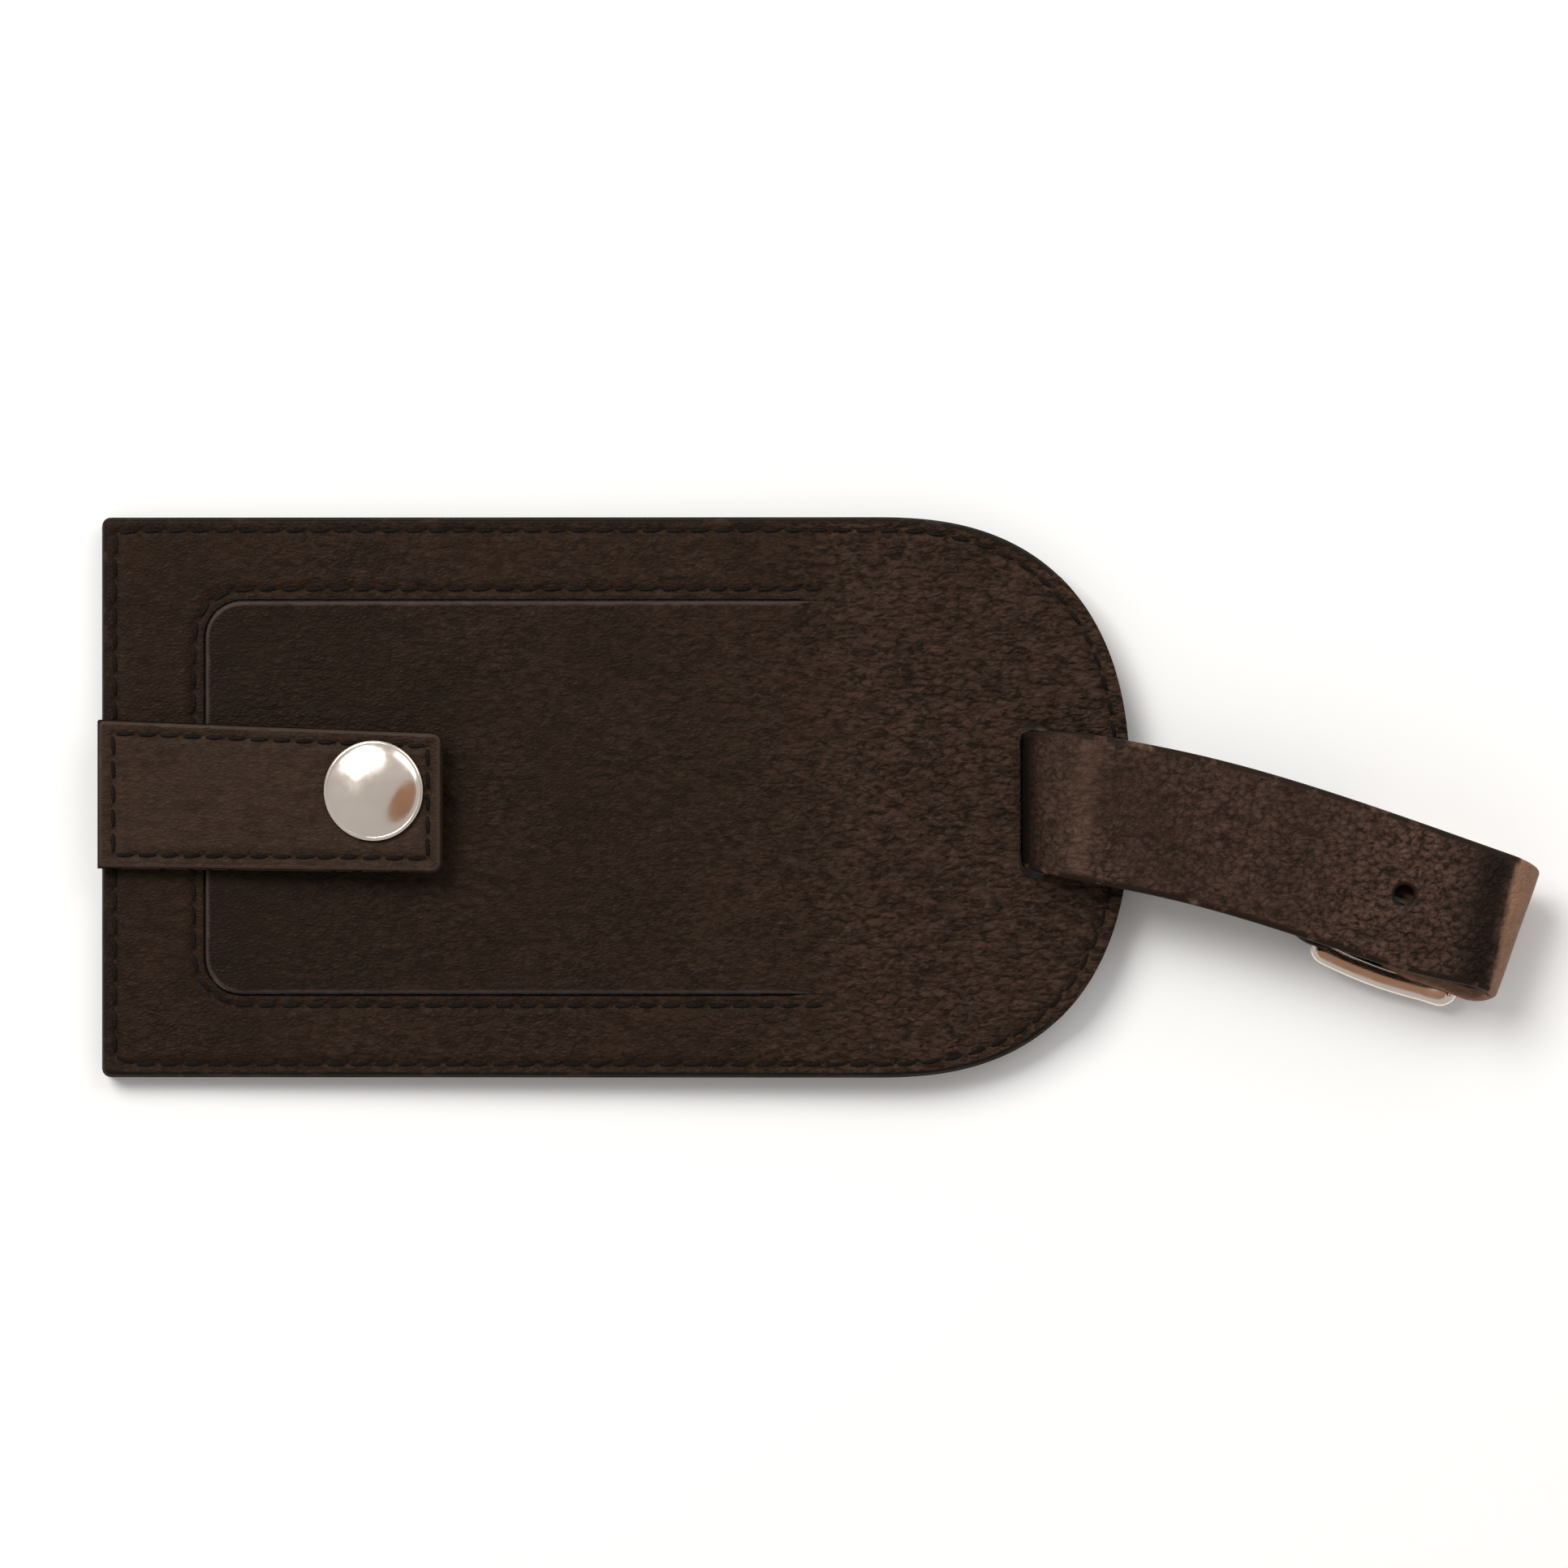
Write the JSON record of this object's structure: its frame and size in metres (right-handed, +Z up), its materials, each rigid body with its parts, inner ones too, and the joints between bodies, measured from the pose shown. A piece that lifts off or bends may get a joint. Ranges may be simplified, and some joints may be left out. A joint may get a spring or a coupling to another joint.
{
  "type": "luggage tag",
  "caption": "Stitched leather luggage tag with a card window under a flap, a press-stud tab and a buckled strap loop.",
  "frame": {"origin": "on the resting surface, under the middle of the whole footprint of tag and strap", "axes": "+X along the tag from its square end to its strap, +Y across the tag to the left of +X, +Z up, away from the surface it lies on"},
  "size_m": [0.172, 0.067, 0.0111],
  "materials": {
    "leather_dark": "pebbled dark brown leather with painted edges",
    "leather_strap": "pebbled brown leather, smoother where it bends",
    "leather_flesh": "suede flesh side",
    "board": "grey-brown fibre board",
    "lining_cloth": "fine plain weave",
    "card": "uncoated card",
    "clear_film": "clear flexible film",
    "thread": "waxed twisted thread",
    "nickel": "polished nickel",
    "spring_steel": "drawn wire"
  },
  "bodies": {
    "tag": {"back_panel": "leather_dark", "stiffener_board": "board", "pocket_lining": "lining_cloth", "address_card": "card", "window_film": "clear_film", "face_panel": "leather_dark", "front_seam_thread": "thread", "back_seam_thread": "thread", "window_thread": "thread", "tab_root": "leather_dark", "strap_root": "leather_strap"},
    "flap": {"flap_leather": "leather_dark", "flap_lining": "leather_flesh", "snap_stud": "nickel", "stud_post": "nickel"},
    "tab": {"tab_leather": "leather_dark", "tab_lining": "leather_flesh", "tab_thread": "thread", "snap_cap": "nickel", "snap_socket": "nickel", "snap_spring": "spring_steel"},
    "strap": {"strap_long": "leather_strap", "strap_chape": "leather_strap", "chape_thread": "thread", "buckle_frame": "nickel"},
    "keeper": {"keeper_loop": "leather_strap"},
    "prong": {"buckle_prong": "nickel"}
  },
  "joints": [
    {"name": "tab_hinge", "type": "hinge", "parent": "tag", "child": "tab", "pos_m": [-0.08259, 0, 0.0053], "axis": [0, -1, 0], "range_deg": [0, 165]},
    {"name": "flap_hinge", "type": "hinge", "parent": "tag", "child": "flap", "pos_m": [0.00143, 0, 0.00487], "axis": [0, 1, 0], "range_deg": [0, 22]},
    {"name": "strap_swing", "type": "hinge", "parent": "tag", "child": "strap", "pos_m": [0.03931, -0.00267, 0.0052], "axis": [0.1855, 0.9826, 0], "range_deg": [-60, 60]},
    {"name": "keeper_slide", "type": "slide", "parent": "strap", "child": "keeper", "axis": [0.9547, -0.2975, 0], "range_m": [-0.0014, 0.0004]},
    {"name": "prong_hinge", "type": "hinge", "parent": "strap", "child": "prong", "pos_m": [0.06196, -0.01044, 0.0042], "axis": [0.331, 0.9436, 0], "range_deg": [0, 6]}
  ],
  "couplings": [
    {"joint": "flap_hinge", "follows": "tab_hinge", "ratio": 0.13}
  ]
}
